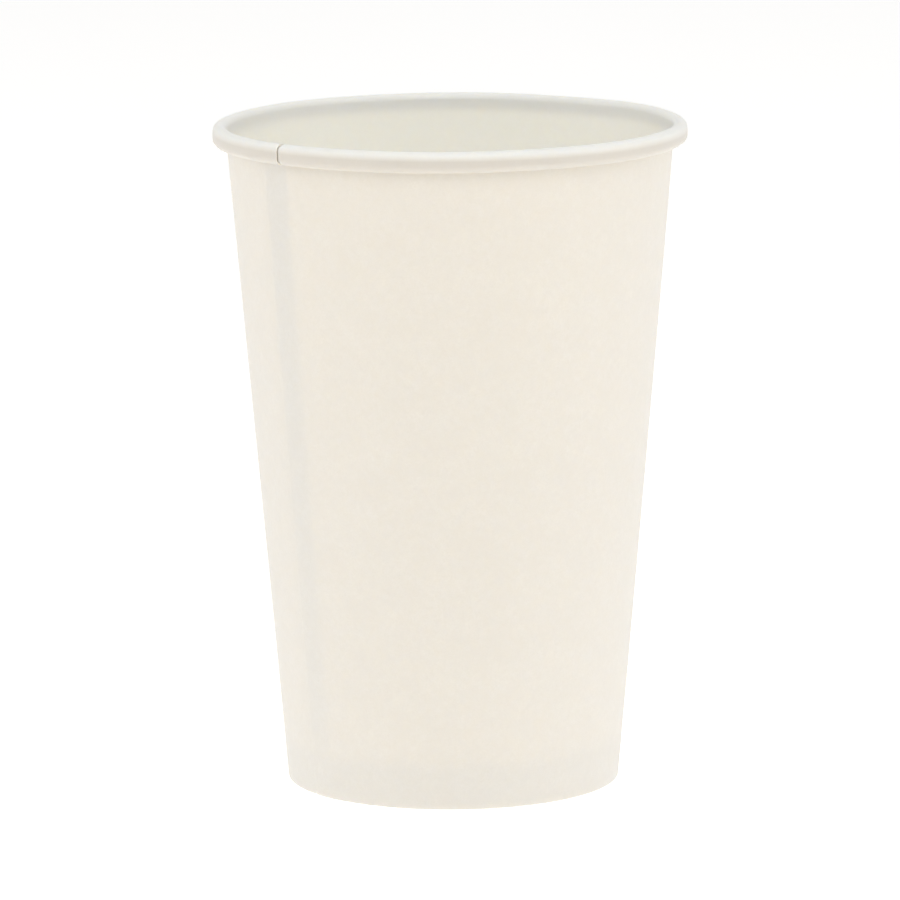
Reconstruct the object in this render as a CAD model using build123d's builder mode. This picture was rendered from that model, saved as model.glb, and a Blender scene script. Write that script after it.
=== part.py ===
"""A single-wall paper cup for a hot drink, 0.2 l, with a rolled rim.

Two blanks of coated board, as a cup machine joins them. The sidewall is wrapped round a cone and
lapped along one side seam, rolled outwards at the rim and folded inwards at the foot. The bottom is
a shallow pan, upside down, whose skirt is sealed between the wall and the folded hem.

Millimetres, +Z up. The origin is the middle of the foot, on the surface that the cup stands on.
"""

import os
from math import acos, atan2, cos, degrees, hypot, pi, radians, sin, tan

from build123d import *

# Overall sizes
cup_height = 98.4
rim_diameter = 70.0
base_diameter = 49.2

# Board
wall_board = 0.28
bottom_board = 0.24
lining = 0.02  # melted coating that seals board to board

# Rolled rim, measured outside
rim_width = 2.2
rim_height = 3.05
tuck_hollow = 0.04  # radius left inside the doubled board where it turns up in the roll
tuck_length = 0.25  # straight end of the board, inside the roll
tuck_clearance = 0.12  # between the turned-up end and the lapped wall

# Foot
fold_radius = 0.05  # inside the creased fold at the foot
skirt_clearance = 0.1  # between the skirt's cut edge and the fold
hem_clearance = 0.6  # between the hem's cut edge and the bottom's inside corner

# Bottom
floor_height = 7.2
pan_radius = 0.8  # outside the corner from floor to skirt

# Side seam, as degrees about +Z from +X
seam_angle = -144.5  # cut edge of the outer layer
lap_width = 5.4  # outer layer over inner layer, measured at the rim
step_width = 1.0  # board coming down off the lap, measured at the rim
lap_foot_lift = 0.05  # the foot is pressed, so the lap's outer layer stays this far off the table

# The wall leans out by as much as takes it from the foot into the rim's roll.
rim_radius = rim_diameter / 2
base_radius = base_diameter / 2
roll_radius = rim_width / 2
roll_x = rim_radius - roll_radius
roll_z = cup_height - roll_radius
run = roll_x - base_radius
lean = acos((roll_radius - wall_board) / hypot(run, roll_z)) - atan2(roll_z, run)
hem_gap = bottom_board + 2 * lining
hem_height = floor_height - pan_radius - hem_clearance

lap_angle = degrees(lap_width / rim_radius)
step_angle = degrees(step_width / rim_radius)
lap_end = seam_angle + lap_angle
step_end = lap_end + step_angle


def wall_radius(z, depth):
    """Radius, at height z, of the surface that lies depth outside the wall's lined face."""
    return base_radius + z * tan(lean) + (depth - wall_board) / cos(lean)


def hem_radius(z, depth):
    """Radius, at height z, of the surface that lies depth behind the hem's lined face."""
    return wall_radius(z, -hem_gap - depth)


# The roll's lower corner takes what the turned-up end leaves between the lapped wall and the outside.
tuck_radius = 2 * wall_board + tuck_hollow
tuck_top = cup_height - rim_height + tuck_radius + tuck_length
under_radius = rim_radius - wall_radius(tuck_top, 2 * wall_board) - tuck_clearance - tuck_radius
rim_side = rim_height - roll_radius - under_radius


def radial_plane(angle):
    """Plane through the axis at an angle about +Z, with local X outwards and local Y upwards."""
    direction = Vector(cos(radians(angle)), sin(radians(angle)), 0)
    return Plane(origin=(0, 0, 0), x_dir=direction, z_dir=direction.cross(Vector(0, 0, 1)))


def sheet_face(depth):
    """Line of the sidewall's section from the hem's edge to the rim's edge, depth from its lining."""
    foot_z = wall_board - depth
    with BuildLine() as line:
        cone = FilletPolyline(
            (hem_radius(hem_height, depth), hem_height),
            (hem_radius(foot_z, depth), foot_z),
            (wall_radius(foot_z, depth), foot_z),
            (roll_x - (roll_radius - depth) * cos(lean), roll_z + (roll_radius - depth) * sin(lean)),
            radius=fold_radius + depth,
        )
        over = JernArc(
            start=cone @ 1,
            tangent=(sin(lean), cos(lean)),
            radius=roll_radius - depth,
            arc_size=degrees(lean) - 180,
        )
        side = Line(over @ 1, (over @ 1) - (0, rim_side))
        under = JernArc(start=side @ 1, tangent=side % 1, radius=under_radius - depth, arc_size=-90)
        tuck = JernArc(start=under @ 1, tangent=under % 1, radius=tuck_radius - depth, arc_size=-90)
        Line(tuck @ 1, (tuck @ 1) + (0, tuck_length))
    return line.wires()[0]


def sheet_section(angle, depth):
    """Section of one layer of the sidewall's board, with its near face depth from the lining."""
    with BuildSketch(radial_plane(angle)) as section:
        near = sheet_face(depth)
        far = sheet_face(depth + wall_board)
        with BuildLine():
            add(near)
            add(far)
            Line(near @ 0, far @ 0)
            Line(near @ 1, far @ 1)
        make_face()
    return section.sketch


# Sidewall: the outer layer of the lap, and its step down beside the inner layer's cut edge, are made
# first, so that the press of the foot trims them before the rest of the cone joins them.
with BuildPart() as sidewall:
    add(sheet_section(seam_angle, wall_board))
    revolve(axis=Axis.Z, revolution_arc=lap_angle)
    loft([sheet_section(lap_end, wall_board), sheet_section(step_end, 0)], ruled=True)
    split(bisect_by=Plane.XY.offset(lap_foot_lift), keep=Keep.TOP)
    add(sheet_section(step_end, 0))
    revolve(axis=Axis.Z, revolution_arc=360 - step_angle)
sidewall.part.label = "sidewall"

# Bottom: a pan of board turned over, whose skirt fills the gap between the wall and the hem.
with BuildPart() as bottom:
    with BuildSketch(Plane.XZ):
        with BuildLine():
            skirt_foot = wall_board + skirt_clearance
            floor_under = floor_height - bottom_board
            outside = FilletPolyline(
                (wall_radius(skirt_foot, -lining), skirt_foot),
                (wall_radius(floor_height, -lining), floor_height),
                (0, floor_height),
                radius=pan_radius,
            )
            inside = FilletPolyline(
                (wall_radius(skirt_foot, -lining - bottom_board), skirt_foot),
                (wall_radius(floor_under, -lining - bottom_board), floor_under),
                (0, floor_under),
                radius=pan_radius - bottom_board,
            )
            Line(outside @ 0, inside @ 0)
            Line(outside @ 1, inside @ 1)
        make_face()
    revolve(axis=Axis.Z)
bottom.part.label = "bottom"

os.makedirs("parts", exist_ok=True)
export_step(sidewall.part, "parts/sidewall.step")
export_step(bottom.part, "parts/bottom.step")

brim_volume = pi / 3 * (cup_height - floor_height) * (
    wall_radius(floor_height, 0) ** 2
    + wall_radius(floor_height, 0) * wall_radius(cup_height, 0)
    + wall_radius(cup_height, 0) ** 2
)
print(f"wall leans {degrees(lean):.2f} degrees")
print(f"lap {lap_angle:.2f} degrees, step {step_angle:.2f} degrees")
print(f"rim roll radii {roll_radius:.2f}, {under_radius:.2f} and {tuck_radius:.2f}, side {rim_side:.2f}")
print(f"brim volume {brim_volume / 1000:.0f} ml")
for piece in (sidewall.part, bottom.part):
    print(piece.label, len(piece.solids()), "solids", f"{piece.volume:.1f} mm3", piece.is_valid)
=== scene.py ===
"""Looks of a single-wall paper cup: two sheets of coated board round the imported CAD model.

The sidewall is one sheet that goes once round the cup and laps over itself, so its seam, its step
and its cut edges are real. Every size is in metres. Azimuth is in degrees about +Z from +X.
"""

from math import acos, atan2, cos, degrees, exp, hypot, radians, sin, tan

import bpy
from mathutils import Matrix, Vector


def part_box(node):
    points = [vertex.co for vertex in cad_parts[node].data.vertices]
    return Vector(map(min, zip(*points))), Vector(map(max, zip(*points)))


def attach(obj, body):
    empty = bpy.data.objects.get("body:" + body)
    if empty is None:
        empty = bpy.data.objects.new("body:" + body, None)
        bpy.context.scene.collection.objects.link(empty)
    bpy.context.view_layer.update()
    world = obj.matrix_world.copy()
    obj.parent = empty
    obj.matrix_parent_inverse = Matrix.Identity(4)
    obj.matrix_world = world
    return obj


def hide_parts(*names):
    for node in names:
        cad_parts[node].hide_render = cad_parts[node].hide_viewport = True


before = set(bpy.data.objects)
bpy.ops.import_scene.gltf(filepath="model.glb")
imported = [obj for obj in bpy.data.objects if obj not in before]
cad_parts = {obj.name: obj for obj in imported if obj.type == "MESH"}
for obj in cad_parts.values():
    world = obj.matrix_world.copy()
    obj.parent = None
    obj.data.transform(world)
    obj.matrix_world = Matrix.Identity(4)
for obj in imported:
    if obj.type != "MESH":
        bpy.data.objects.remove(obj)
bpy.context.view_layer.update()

MM = 0.001

# Sizes that the CAD model's parts give. The margin keeps the wall's uneven mesh inside the CAD
# model's box.
wall_low, wall_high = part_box("sidewall")
BOX_MARGIN = 0.01 * MM
RIM_RADIUS = (wall_high[0] - wall_low[0]) / 2 - BOX_MARGIN
CUP_HEIGHT = wall_high[2]
FLOOR_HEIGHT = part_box("bottom")[1][2]

# Board, as in the CAD source
BASE_RADIUS = 24.6 * MM
WALL_BOARD = 0.28 * MM
BOTTOM_BOARD = 0.24 * MM
LINING = 0.02 * MM

# Rolled rim
RIM_WIDTH = 2.2 * MM
RIM_HEIGHT = 3.05 * MM
TUCK_RADIUS = 0.6 * MM
TUCK_LENGTH = 0.25 * MM
UNDER_RADIUS = 1.02 * MM

# Foot and bottom
FOLD_RADIUS = 0.05 * MM
PAN_RADIUS = 0.8 * MM
HEM_CLEARANCE = 0.6 * MM  # between the hem's cut edge and the bottom's inside corner
SKIRT_FOOT = 0.62 * MM  # height of the skirt's cut edge
FLOOR_DISH = 0.22 * MM  # how far the floor sags at its middle
HUB_RADIUS = 0.4 * MM  # the one flat face at the floor's middle

# Side seam: the azimuth of the outer layer's cut edge, then how far round other things reach
SEAM = -144.5
LAP = degrees(5.4 * MM / RIM_RADIUS)
LAP_END = SEAM + LAP
RIM_STEP = degrees(1.0 * MM / RIM_RADIUS)  # the board comes down off the lap, at the rim
WALL_STEP = 15.0  # the same, on the wall
FOOT_STEP = 5.0  # the same, at the foot
FOOT_RISE = 4.0  # the pressed foot rises before the outer layer's cut edge
RIM_STEP_SHARPNESS = 2.2
STEP_ABOVE_FOOT = 8 * MM  # height in which the step widens from the foot's to the wall's
STEP_BELOW_RIM = 9 * MM  # height in which it narrows to the rim's
FOOT_PRESS = (0.4 * MM, 4 * MM)  # heights between which the pressed foot's rise fades out

# Cut edges, pressed thin by the knife
CUT_ROUNDING = 0.12 * MM
CUT_THINNING = 0.3
CUT_FADE = 0.4 * CUT_ROUNDING

# The rim is not quite level
RIM_TILT = 0.11 * MM
RIM_DIP = 0.13 * MM
RIM_DIP_AZIMUTH = 58
RIM_DIP_WIDTH = 17
RIM_RIPPLE = 0.018 * MM
RIM_RIPPLES = 7
RIM_RIPPLE_PHASE = 40

# The wall's hollows: height in millimetres, number round the cup, phase, and twist up the wall
WALL_WAVES = [
    (0.030, 3, 1.1, 0.8),
    (0.018, 5, 2.3, -1.4),
    (0.012, 8, 0.4, 2.2),
    (0.007, 13, 0.0, 5.0),
]
WAVES_ABOVE_FOOT = 22 * MM
WAVES_BELOW_RIM = (20 * MM, 3 * MM)

# Spans of mesh in each run of the sheets' sections, and round the bottom
HEM_SPANS, FOLD_SPANS, WALL_SPANS = 8, 6, 44
ROLL_SPANS, RIM_SIDE_SPANS, UNDER_SPANS, TUCK_SPANS = 20, 3, 9, 6
FLOOR_SPANS, CORNER_SPANS, SKIRT_SPANS = 16, 8, 6
BOTTOM_COLUMNS = 240
SHARP_ANGLE = 48  # edges that turn by more than this are shaded sharp

# Light: how far it spreads in the board, and how much less far green and blue go than red
LIGHT_DEPTH = 0.42 * MM
LIGHT_SPREAD = (1.0, 0.93, 0.80)
SOFTBOX_WHITE = (1.0, 0.985, 0.96)
ROOM_WHITE = (1.0, 0.995, 0.985, 1)

# Small marks: dark spots and the knurling
SPECK_BROWN = (0.33, 0.29, 0.24, 1)
KNURL_RIBS = 120
KNURL_DEPTH = 0.05 * MM

# Camera
LENS = 285.2
SENSOR = 36.0
CAMERA_PLACE = (0, -1.0419, 0.2343)
PITCH, ROLL, YAW = radians(10.079), radians(-0.324), radians(-0.0142)

# Shape of the rolled rim and the foot's fold, worked out as the CAD source does
ROLL_RADIUS = RIM_WIDTH / 2
ROLL_X = RIM_RADIUS - ROLL_RADIUS
ROLL_Z = CUP_HEIGHT - ROLL_RADIUS
RUN = ROLL_X - BASE_RADIUS
LEAN = acos((ROLL_RADIUS - WALL_BOARD) / hypot(RUN, ROLL_Z)) - atan2(ROLL_Z, RUN)
HEM_GAP = BOTTOM_BOARD + 2 * LINING
HEM_HEIGHT = FLOOR_HEIGHT - PAN_RADIUS - HEM_CLEARANCE
RIM_FOOT = CUP_HEIGHT - RIM_HEIGHT


def smooth(low, high, x):
    """0 below low, 1 above high, and a smooth rise between."""
    t = min(1.0, max(0.0, (x - low) / (high - low)))
    return t * t * (3 - 2 * t)


def wall_radius(z, depth=0.0):
    """Radius, at height z, of the surface that lies depth outside the wall's lined face."""
    return BASE_RADIUS + z * tan(LEAN) + (depth - WALL_BOARD) / cos(LEAN)


# ---------------------------------------------------------------- sheet sections


def straight(start, end, normal, count, zone):
    """Samples of a straight run, without its last point: radius, height, normal and zone."""
    return [
        (
            start[0] + (end[0] - start[0]) * i / count,
            start[1] + (end[1] - start[1]) * i / count,
            normal[0],
            normal[1],
            zone,
        )
        for i in range(count)
    ]


def turn(centre, radius, first, last, side, count, zone):
    """Samples of an arc, without its last point.

    side is +1 if depth goes away from the arc's centre, -1 if towards it.
    """
    samples = []
    for i in range(count):
        angle = radians(first + (last - first) * i / count)
        across, up = cos(angle), sin(angle)
        place = (centre[0] + radius * across, centre[1] + radius * up)
        samples.append((*place, side * across, side * up, zone))
    return samples


def sidewall_section():
    """The lined face of the sidewall's board, from the hem's edge to the edge inside the roll."""
    tilt = degrees(LEAN)
    out = (cos(LEAN), -sin(LEAN))
    back = (-out[0], -out[1])
    fold_z = WALL_BOARD + FOLD_RADIUS
    hem_x = wall_radius(fold_z, -HEM_GAP)
    hem_fold = (hem_x + FOLD_RADIUS / cos(LEAN), fold_z)
    wall_fold = (wall_radius(fold_z) - FOLD_RADIUS / cos(LEAN), fold_z)
    hem_top = (wall_radius(HEM_HEIGHT, -HEM_GAP), HEM_HEIGHT)
    hem_foot = (hem_fold[0] + FOLD_RADIUS * back[0], fold_z + FOLD_RADIUS * back[1])
    wall_foot = (wall_fold[0] + FOLD_RADIUS * out[0], fold_z + FOLD_RADIUS * out[1])
    roll_start = (ROLL_X + ROLL_RADIUS * back[0], ROLL_Z + ROLL_RADIUS * back[1])
    under = (RIM_RADIUS - UNDER_RADIUS, RIM_FOOT + UNDER_RADIUS)
    tuck = (under[0], RIM_FOOT + TUCK_RADIUS)
    tuck_end = (tuck[0] - TUCK_RADIUS, tuck[1])
    side_top, side_foot = (RIM_RADIUS, ROLL_Z), (RIM_RADIUS, under[1])
    samples = straight(hem_top, hem_foot, back, HEM_SPANS, "hem")
    samples += turn(hem_fold, FOLD_RADIUS, 180 - tilt, 270, 1, FOLD_SPANS, "foot")
    samples += turn(wall_fold, FOLD_RADIUS, 270, 360 - tilt, 1, FOLD_SPANS, "foot")
    samples += straight(wall_foot, roll_start, out, WALL_SPANS, "wall")
    samples += turn((ROLL_X, ROLL_Z), ROLL_RADIUS, 180 - tilt, 0, -1, ROLL_SPANS, "rim")
    samples += straight(side_top, side_foot, (-1, 0), RIM_SIDE_SPANS, "rim")
    samples += turn(under, UNDER_RADIUS, 0, -90, -1, UNDER_SPANS, "rim")
    samples += turn(tuck, TUCK_RADIUS, -90, -180, -1, TUCK_SPANS, "rim")
    samples += straight(tuck_end, (tuck_end[0], tuck_end[1] + TUCK_LENGTH), (1, 0), 1, "rim")
    samples.append((tuck_end[0], tuck_end[1] + TUCK_LENGTH, 1, 0, "rim"))
    return samples


def sidewall_azimuths():
    """Azimuths from the outer layer's cut edge, once round, to the inner layer's cut edge.

    They are close together at the cut edges and on the step, and a degree apart elsewhere.
    """
    edge = degrees(CUT_ROUNDING / RIM_RADIUS)
    edge_shares = (0, 0.3, 0.7, 1.2, 2, 4)
    lap_count, step_count = 9, 12
    finish = LAP_END + 360
    azimuths = [SEAM + edge * share for share in edge_shares]
    azimuths += [SEAM + LAP * i / lap_count for i in range(1, lap_count)]
    azimuths += [LAP_END + RIM_STEP * i / step_count for i in range(step_count + 3)]
    plain_start = azimuths[-1] + 0.3
    plain_end = finish - edge * 6
    count = round(plain_end - plain_start)
    azimuths += [plain_start + (plain_end - plain_start) * i / count for i in range(count + 1)]
    azimuths += [finish - edge * share for share in reversed(edge_shares)]
    return azimuths


# ---------------------------------------------------------------- sidewall


def step_angle(zone, z):
    """How far the board takes, past the lap, to come down beside the inner layer's cut edge."""
    if zone == "rim":
        return RIM_STEP
    if zone == "hem" or z < 0:
        return FOOT_STEP
    near_foot = FOOT_STEP + (WALL_STEP - FOOT_STEP) * smooth(0, STEP_ABOVE_FOOT, z)
    return near_foot + (RIM_STEP - near_foot) * smooth(CUP_HEIGHT - STEP_BELOW_RIM, ROLL_Z, z)


def lap_lift(azimuth, zone, z):
    """Share of one board by which the sheet stands off its round form, 1 over the inner layer."""
    past = (azimuth - LAP_END) / step_angle(zone, z)
    if past <= 0:
        return 1.0
    if past >= 1:
        return 0.0
    if zone == "rim":
        return (1 - past) ** RIM_STEP_SHARPNESS
    return 1 - smooth(0, 1, past)


def foot_raise(azimuth):
    """Share of one board by which the fold rises, so that the doubled foot stays flush."""
    if azimuth < LAP_END + FOOT_STEP:
        return 1 - smooth(LAP_END, LAP_END + FOOT_STEP, azimuth)
    return smooth(SEAM + 360 - FOOT_RISE, SEAM + 360, azimuth)


def rim_drop(azimuth):
    """How far the rim hangs: most at the left, with a slight dip at the back right."""
    tilt = RIM_TILT * (1 - cos(radians(azimuth)))
    dip = RIM_DIP * exp(-((azimuth % 360 - RIM_DIP_AZIMUTH) / RIM_DIP_WIDTH) ** 2)
    ripple = RIM_RIPPLE * (1 + sin(radians(RIM_RIPPLES * azimuth + RIM_RIPPLE_PHASE)))
    return tilt + dip + ripple


def unevenness(azimuth, z):
    """Radial hollows of the wall, which a rolled sheet keeps between its stiff rim and foot."""
    fade_start, fade_end = (CUP_HEIGHT - below for below in WAVES_BELOW_RIM)
    free = smooth(0, WAVES_ABOVE_FOOT, z) * (1 - smooth(fade_start, fade_end, z))
    around = radians(azimuth)
    height = z / CUP_HEIGHT
    waves = sum(
        depth * sin(count * around + phase + twist * height)
        for depth, count, phase, twist in WALL_WAVES
    )
    return waves * free * MM


def cut_rounding(azimuth):
    """Thinning of the board at its side cut edges, where the knife presses it."""
    first = radians(azimuth - SEAM) * RIM_RADIUS
    last = radians(LAP_END + 360 - azimuth) * RIM_RADIUS
    return CUT_THINNING * exp(-min(first, last) / CUT_FADE)


def sheet_point(sample, azimuth, depth):
    """Place of a sample of the sheet, depth behind its lined face, at an azimuth."""
    radius, z, across, up, zone = sample
    layer = WALL_BOARD + LINING
    lift = lap_lift(azimuth, zone, z) * layer
    radius += (lift + depth) * across
    height = z + (lift + depth) * up
    rise = foot_raise(azimuth) * layer * (1 - smooth(*FOOT_PRESS, height))
    height += rise
    radius += rise * tan(LEAN)
    if zone == "wall":
        radius += unevenness(azimuth, z)
    height -= rim_drop(azimuth) * smooth(0, CUP_HEIGHT, z)
    angle = radians(azimuth)
    return (radius * cos(angle), radius * sin(angle), max(height, 0.0))


def build_sheet(name, near, far, materials, closed_round):
    """Mesh of a sheet from two grids of points, near and far, with its cut edges closed.

    near[i][j] is column i, sample j. Material 0 is the near face, 1 the far face, 2 the cut edges.
    A sheet that is closed round is a disc, so its first samples are joined by two flat faces.
    """
    columns, rows = len(near), len(near[0])
    points = [p for column in near for p in column] + [p for column in far for p in column]
    offset = columns * rows
    faces = []
    kinds = []

    def add(corners, kind):
        faces.append(corners)
        kinds.append(kind)

    spans = columns if closed_round else columns - 1
    for i in range(spans):
        a, b = i * rows, ((i + 1) % columns) * rows
        for j in range(rows - 1):
            add((a + j, b + j, b + j + 1, a + j + 1), 0)
            add((offset + a + j + 1, offset + b + j + 1, offset + b + j, offset + a + j), 1)
        if not closed_round:
            add((offset + a, offset + b, b, a), 2)
        top = rows - 1
        add((a + top, b + top, offset + b + top, offset + a + top), 2)
    if closed_round:
        hub = [i * rows for i in range(columns)]
        add(tuple(reversed(hub)), 0)
        add(tuple(offset + corner for corner in hub), 1)
    else:
        last = (columns - 1) * rows
        for j in range(rows - 1):
            add((j, j + 1, offset + j + 1, offset + j), 2)
            add((last + j + 1, last + j, offset + last + j, offset + last + j + 1), 2)
    mesh = bpy.data.meshes.new(name)
    mesh.from_pydata(points, [], faces)
    mesh.polygons.foreach_set("material_index", kinds)
    mesh.validate()
    for material in materials:
        mesh.materials.append(material)
    mesh.shade_smooth()
    mesh.set_sharp_from_angle(angle=radians(SHARP_ANGLE))
    mesh.update()
    piece = bpy.data.objects.new(name, mesh)
    bpy.context.scene.collection.objects.link(piece)
    return piece


def make_sidewall(materials):
    """The wall's one sheet, lapped at its seam, rolled at the rim and folded in at the foot.

    It is built backwards, from the inner layer's cut edge, so that its faces point outwards.
    """
    section = sidewall_section()
    near, far = [], []
    for azimuth in reversed(sidewall_azimuths()):
        board = WALL_BOARD * (1 - cut_rounding(azimuth))
        near.append([sheet_point(sample, azimuth, 0.0) for sample in section])
        far.append([sheet_point(sample, azimuth, board) for sample in section])
    piece = build_sheet("cup_wall", near, far, materials, closed_round=False)
    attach(piece, "root")
    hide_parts("sidewall")


# ---------------------------------------------------------------- bottom


def make_bottom(materials):
    """The pan, upside down: a slightly dished floor, a round corner and a skirt."""
    skirt = wall_radius(FLOOR_HEIGHT, -LINING)
    corner_x = skirt - PAN_RADIUS * (1 + sin(LEAN)) / cos(LEAN)
    corner = (corner_x, FLOOR_HEIGHT - PAN_RADIUS)
    tilt = degrees(LEAN)
    skirt_top = (corner[0] + PAN_RADIUS * cos(LEAN), corner[1] - PAN_RADIUS * sin(LEAN))
    skirt_end = (wall_radius(SKIRT_FOOT, -LINING), SKIRT_FOOT)
    middle, floor_edge = (HUB_RADIUS, FLOOR_HEIGHT), (corner[0], FLOOR_HEIGHT)
    inwards = (-cos(LEAN), sin(LEAN))
    samples = straight(middle, floor_edge, (0, -1), FLOOR_SPANS, "floor")
    samples += turn(corner, PAN_RADIUS, 90, -tilt, -1, CORNER_SPANS, "corner")
    samples += straight(skirt_top, skirt_end, inwards, SKIRT_SPANS, "skirt")
    samples.append((*skirt_end, *inwards, "skirt"))

    def place(sample, azimuth, depth):
        radius, z, across, up, _ = sample
        share = min(1.0, radius / corner[0])
        radius += depth * across
        dish = FLOOR_DISH * (1 - share * share)
        angle = radians(azimuth)
        return (radius * cos(angle), radius * sin(angle), z + depth * up - dish)

    azimuths = [-360 * i / BOTTOM_COLUMNS for i in range(BOTTOM_COLUMNS)]
    near = [[place(s, a, 0.0) for s in samples] for a in azimuths]
    far = [[place(s, a, BOTTOM_BOARD) for s in samples] for a in azimuths]
    piece = build_sheet("cup_bottom", near, far, materials, closed_round=True)
    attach(piece, "root")
    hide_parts("bottom")


# ---------------------------------------------------------------- materials


class Nodes:
    """Short names for making and linking the nodes of one node tree."""

    def __init__(self, tree):
        self.tree = tree
        tree.nodes.clear()

    def add(self, kind, inputs=None, **settings):
        node = self.tree.nodes.new(kind)
        for key, value in settings.items():
            setattr(node, key, value)
        for key, value in (inputs or {}).items():
            self.put(node.inputs[key], value)
        return node

    def put(self, socket, value):
        if isinstance(value, bpy.types.NodeSocket):
            self.tree.links.new(value, socket)
        else:
            socket.default_value = value

    def math(self, operation, first, second=0.0):
        return self.add("ShaderNodeMath", {0: first, 1: second}, operation=operation).outputs[0]

    def vector(self, operation, output, inputs):
        return self.add("ShaderNodeVectorMath", inputs, operation=operation).outputs[output]

    def noise(self, vector, scale, detail, roughness=0.55, distortion=0.0):
        node = self.add(
            "ShaderNodeTexNoise",
            {
                "Vector": vector,
                "Scale": scale,
                "Detail": detail,
                "Roughness": roughness,
                "Distortion": distortion,
            },
        )
        return node.outputs["Fac"]

    def stretch(self, vector, scale, turn=(0, 0, 0)):
        node = self.add("ShaderNodeMapping", {"Vector": vector, "Scale": scale, "Rotation": turn})
        return node.outputs["Vector"]

    def blend(self, share, first, second, mode="MIX"):
        node = self.add("ShaderNodeMix", data_type="RGBA", blend_type=mode)
        self.put(node.inputs[0], share)
        self.put(node.inputs[6], first)
        self.put(node.inputs[7], second)
        return node.outputs[2]

    def span(self, value, low, high, out_low, out_high):
        """Takes value from the span low to high to the span out_low to out_high."""
        ends = {"From Min": low, "From Max": high, "To Min": out_low, "To Max": out_high}
        return self.add("ShaderNodeMapRange", {"Value": value, **ends}).outputs["Result"]


def on_wall(azimuth, height):
    """A point on the wall's outside, in millimetres."""
    radius = wall_radius(height * MM, WALL_BOARD) / MM
    return (radius * cos(radians(azimuth)), radius * sin(radians(azimuth)), height)


def board_material(
    name, tint, shade, roughness, gloss, grain, specks=(), knurl=False, painted_rim_shade=None
):
    """Coated board: cloudy formation, short fibres, a fine tooth, and any specks and knurling.

    tint and shade are the colours of thick and thin fibre; grain is the height of the tooth in
    millimetres; specks are points in millimetres, each with a radius; the last argument is a
    colour multiplied in as painted shade on the side and underside of the rim's roll.
    """
    material = bpy.data.materials.new(name)
    material.use_nodes = True
    n = Nodes(material.node_tree)
    place = n.add("ShaderNodeTexCoord").outputs["Object"]
    at = n.stretch(place, (1000, 1000, 1000))
    cloud = n.noise(at, 0.28, 3, 0.6)
    clumps = n.noise(at, 1.1, 3, 0.6)
    tooth = n.noise(at, 3.6, 4, 0.62)
    along = n.noise(n.stretch(at, (4.6, 4.6, 0.8), (0.25, 0.1, 0.0)), 1.0, 2, 0.5, 0.4)
    across = n.noise(n.stretch(at, (1.0, 1.0, 5.2), (-0.35, 0.2, 0.0)), 1.0, 2, 0.5, 0.4)
    fibres = n.math("MAXIMUM", along, across)
    mottle = n.math("ADD", n.math("MULTIPLY", clumps, 0.45), n.math("MULTIPLY", tooth, 0.55))
    colour = n.blend(n.span(mottle, 0.36, 0.64, 0, 1), shade, tint)
    colour = n.blend(n.span(cloud, 0.35, 0.65, 0.0, 0.5), colour, shade)
    colour = n.blend(n.span(fibres, 0.62, 0.78, 0.0, 0.35), colour, tint)
    for point, size in specks:
        gap = n.vector("DISTANCE", "Value", {0: at, 1: point})
        ragged = n.math("ADD", gap, n.span(tooth, 0.3, 0.7, -0.5 * size, 0.5 * size))
        colour = n.blend(n.span(ragged, 0.5 * size, size, 0.42, 0), colour, SPECK_BROWN)
    # Painted shade: the side and underside of the rim's roll are multiplied darker than its top
    if painted_rim_shade:
        colour = n.blend(rim_shade_mask(n, place), colour, painted_rim_shade, "MULTIPLY")
    height = n.math("ADD", n.math("MULTIPLY", tooth, 0.7), n.math("MULTIPLY", fibres, 0.5))
    height = n.math("ADD", height, n.math("MULTIPLY", clumps, 0.6))
    bump = n.add("ShaderNodeBump", {"Height": height, "Distance": grain * MM, "Strength": 1.0})
    normal = bump.outputs["Normal"]
    if knurl:
        normal = knurled(n, place, normal)
    rub = n.math("ADD", n.math("MULTIPLY", tooth, 0.6), n.math("MULTIPLY", cloud, 0.4))
    shine = n.span(rub, 0.3, 0.7, roughness - 0.07, roughness + 0.07)
    shader = n.add(
        "ShaderNodeBsdfPrincipled",
        {
            "Base Color": colour,
            "Roughness": shine,
            "Normal": normal,
            "Specular IOR Level": gloss,
            "Subsurface Weight": 1.0,
            "Subsurface Radius": LIGHT_SPREAD,
            "Subsurface Scale": LIGHT_DEPTH,
        },
    )
    n.add("ShaderNodeOutputMaterial", {"Surface": shader.outputs["BSDF"]})
    return material


def rim_shade_mask(n, place):
    """Painted shade mask: 1 on the side and underside of the rim's roll, 0 on its top and in the
    cup.
    """
    parts = n.add("ShaderNodeSeparateXYZ", {0: place})
    level = n.vector("MULTIPLY", "Vector", {0: place, 1: (1, 1, 0)})
    radius = n.vector("LENGTH", "Value", {0: level})
    low = n.span(parts.outputs["Z"], CUP_HEIGHT - 1.5 * MM, CUP_HEIGHT - 0.6 * MM, 1, 0)
    out = n.span(radius, ROLL_X, ROLL_X + 0.3 * MM, 0, 1)
    return n.math("MULTIPLY", low, out)


def knurled(n, place, normal):
    """Adds the upright ribs that the bottom's sealing wheel leaves on the hem, inside the foot."""
    parts = n.add("ShaderNodeSeparateXYZ", {0: place})
    azimuth = n.math("ARCTAN2", parts.outputs["Y"], parts.outputs["X"])
    wave = n.math("SINE", n.math("MULTIPLY", azimuth, KNURL_RIBS))
    radius = n.vector("LENGTH", "Value", {0: place})
    low = n.span(parts.outputs["Z"], 1.0 * MM, 1.6 * MM, 0, 1)
    high = n.span(parts.outputs["Z"], HEM_HEIGHT - 1.2 * MM, HEM_HEIGHT - 0.6 * MM, 1, 0)
    inside = n.span(radius, BASE_RADIUS + 0.1 * MM, BASE_RADIUS - 0.1 * MM, 0, 1)
    band = n.math("MULTIPLY", n.math("MULTIPLY", low, high), inside)
    bump = n.add(
        "ShaderNodeBump",
        {"Height": n.math("MULTIPLY", wave, band), "Distance": KNURL_DEPTH, "Normal": normal},
    )
    return bump.outputs["Normal"]


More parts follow.
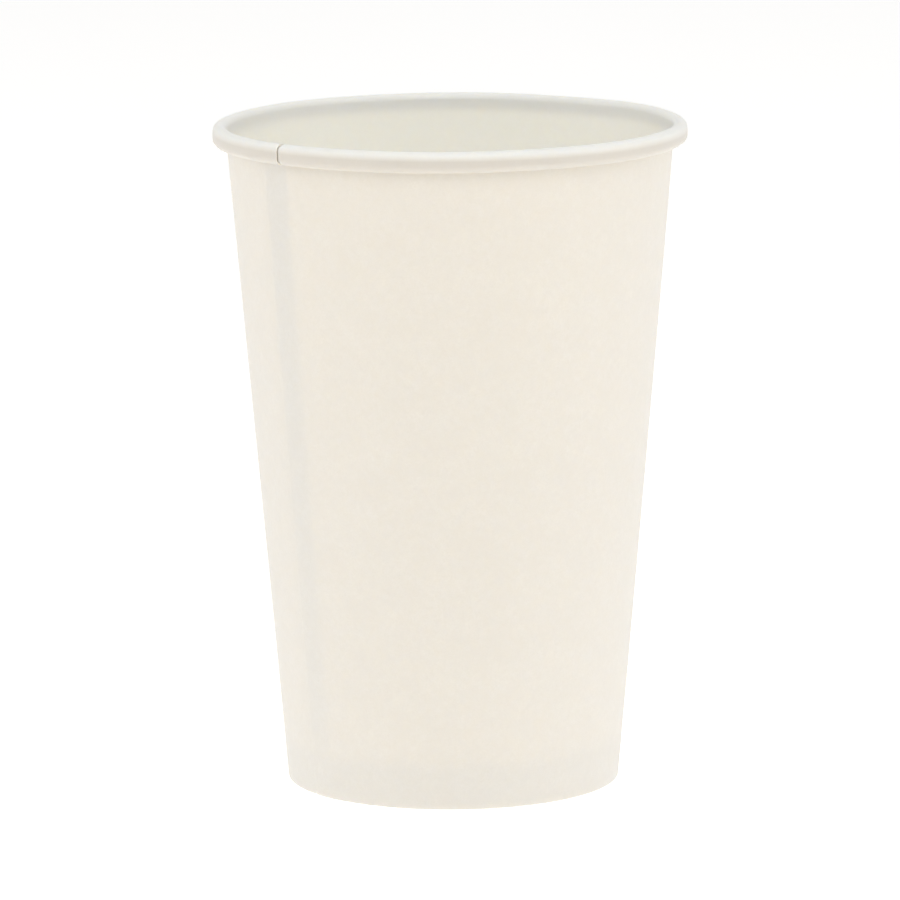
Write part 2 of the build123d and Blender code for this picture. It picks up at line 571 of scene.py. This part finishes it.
def floor_material():
    """White studio paper that glows as a light table does, most of all round the cup."""
    material = bpy.data.materials.new("studio_paper")
    material.use_nodes = True
    n = Nodes(material.node_tree)
    place = n.add("ShaderNodeTexCoord").outputs["Object"]
    tooth = n.noise(place, 900, 3)
    dark, pale = (0.955, 0.955, 0.955, 1), (0.975, 0.975, 0.975, 1)
    colour = n.blend(n.span(tooth, 0.3, 0.7, 0, 1), dark, pale)
    away = n.vector("LENGTH", "Value", {0: place})
    glow = n.span(away, 0.05, 0.35, 0.40, 0.24)
    shader = n.add(
        "ShaderNodeBsdfPrincipled",
        {
            "Base Color": colour,
            "Roughness": 0.9,
            "Specular IOR Level": 0.1,
            "Emission Strength": glow,
        },
    )
    n.add("ShaderNodeOutputMaterial", {"Surface": shader.outputs["BSDF"]})
    return material


# ---------------------------------------------------------------- studio


def make_floor():
    """A pale floor that reaches past the view, so no horizon shows."""
    half = 8.0
    mesh = bpy.data.meshes.new("studio_floor")
    corners = [(-half, -half, 0), (half, -half, 0), (half, half, 0), (-half, half, 0)]
    mesh.from_pydata(corners, [], [(0, 1, 2, 3)])
    mesh.materials.append(floor_material())
    floor = bpy.data.objects.new("studio_floor", mesh)
    bpy.context.scene.collection.objects.link(floor)


def make_world():
    """A soft white room that darkens towards the front, low down, where the camera stands."""
    world = bpy.data.worlds.new("studio")
    bpy.context.scene.world = world
    world.use_nodes = True
    n = Nodes(world.node_tree)
    direction = n.add("ShaderNodeTexCoord").outputs["Generated"]
    parts = n.add("ShaderNodeSeparateXYZ", {0: direction})
    horizon = n.span(parts.outputs["Y"], -1.0, 0.1, 0.04, 0.74)
    strength = n.span(parts.outputs["Z"], 0.15, 0.50, horizon, 0.70)
    light = n.add("ShaderNodeBackground", {"Color": ROOM_WHITE, "Strength": strength})
    n.add("ShaderNodeOutputWorld", {"Surface": light.outputs["Background"]})


def add_softbox(name, place, size, power):
    """A square area light that faces the middle of the cup."""
    light = bpy.data.lights.new(name, "AREA")
    light.shape = "SQUARE"
    light.size = size
    light.energy = power
    light.color = SOFTBOX_WHITE
    lamp = bpy.data.objects.new(name, light)
    towards = Vector((0, 0, CUP_HEIGHT / 2)) - Vector(place)
    lamp.location = place
    lamp.rotation_euler = towards.to_track_quat("-Z", "Y").to_euler()
    bpy.context.scene.collection.objects.link(lamp)


def make_camera():
    """A long lens a metre in front of the cup, looking ten degrees down, rolled a hair."""
    data = bpy.data.cameras.new("camera")
    data.lens = LENS
    data.sensor_width = SENSOR
    data.clip_end = 50.0
    camera = bpy.data.objects.new("camera", data)
    forward = Vector((sin(YAW) * cos(PITCH), cos(YAW) * cos(PITCH), -sin(PITCH)))
    level_right = Vector((cos(YAW), -sin(YAW), 0))
    level_up = level_right.cross(forward)
    right = cos(ROLL) * level_right + sin(ROLL) * level_up
    up = -sin(ROLL) * level_right + cos(ROLL) * level_up
    turned = Matrix((right, up, -forward)).transposed()
    camera.matrix_world = Matrix.Translation(CAMERA_PLACE) @ turned.to_4x4()
    bpy.context.scene.collection.objects.link(camera)
    bpy.context.scene.camera = camera


# ---------------------------------------------------------------- the scene

make_camera()
make_floor()
make_world()
add_softbox("light_right", (0.95, -0.25, 0.45), 0.7, 1.0)
add_softbox("light_left", (-0.95, -0.10, 0.40), 0.7, 0.7)
add_softbox("light_front", (0.0, -1.15, 1.05), 1.0, 5.5)
add_softbox("light_top", (0.0, 0.0, 1.5), 1.0, 2.0)

# Small dark brown spots, each with its radius in millimetres
SPECKS = [
    (on_wall(-141.0, 92.0), 0.20),
    (on_wall(-142.5, 81.0), 0.18),
    (on_wall(-142.5, 6.2), 0.15),
    (on_wall(-131.0, 6.5), 0.15),
]
outside = board_material(
    "board_outside",
    tint=(0.812, 0.778, 0.722, 1),
    shade=(0.777, 0.740, 0.680, 1),
    roughness=0.72,
    gloss=0.3,
    grain=0.012,
    specks=SPECKS,
    knurl=True,
)
lined = board_material(
    "board_lined",
    tint=(0.965, 0.936, 0.874, 1),
    shade=(0.945, 0.911, 0.846, 1),
    roughness=0.42,
    gloss=0.5,
    grain=0.006,
    # painted shade on the side and underside of the rim's roll
    painted_rim_shade=(0.76, 0.74, 0.72, 1),
)
raw_edge = board_material(
    "board_cut_edge",
    tint=(0.86, 0.82, 0.75, 1),
    shade=(0.76, 0.71, 0.63, 1),
    roughness=0.88,
    gloss=0.15,
    grain=0.030,
)
make_sidewall([lined, outside, raw_edge])
make_bottom([lined, outside, raw_edge])

bpy.context.scene.view_settings.view_transform = "Standard"
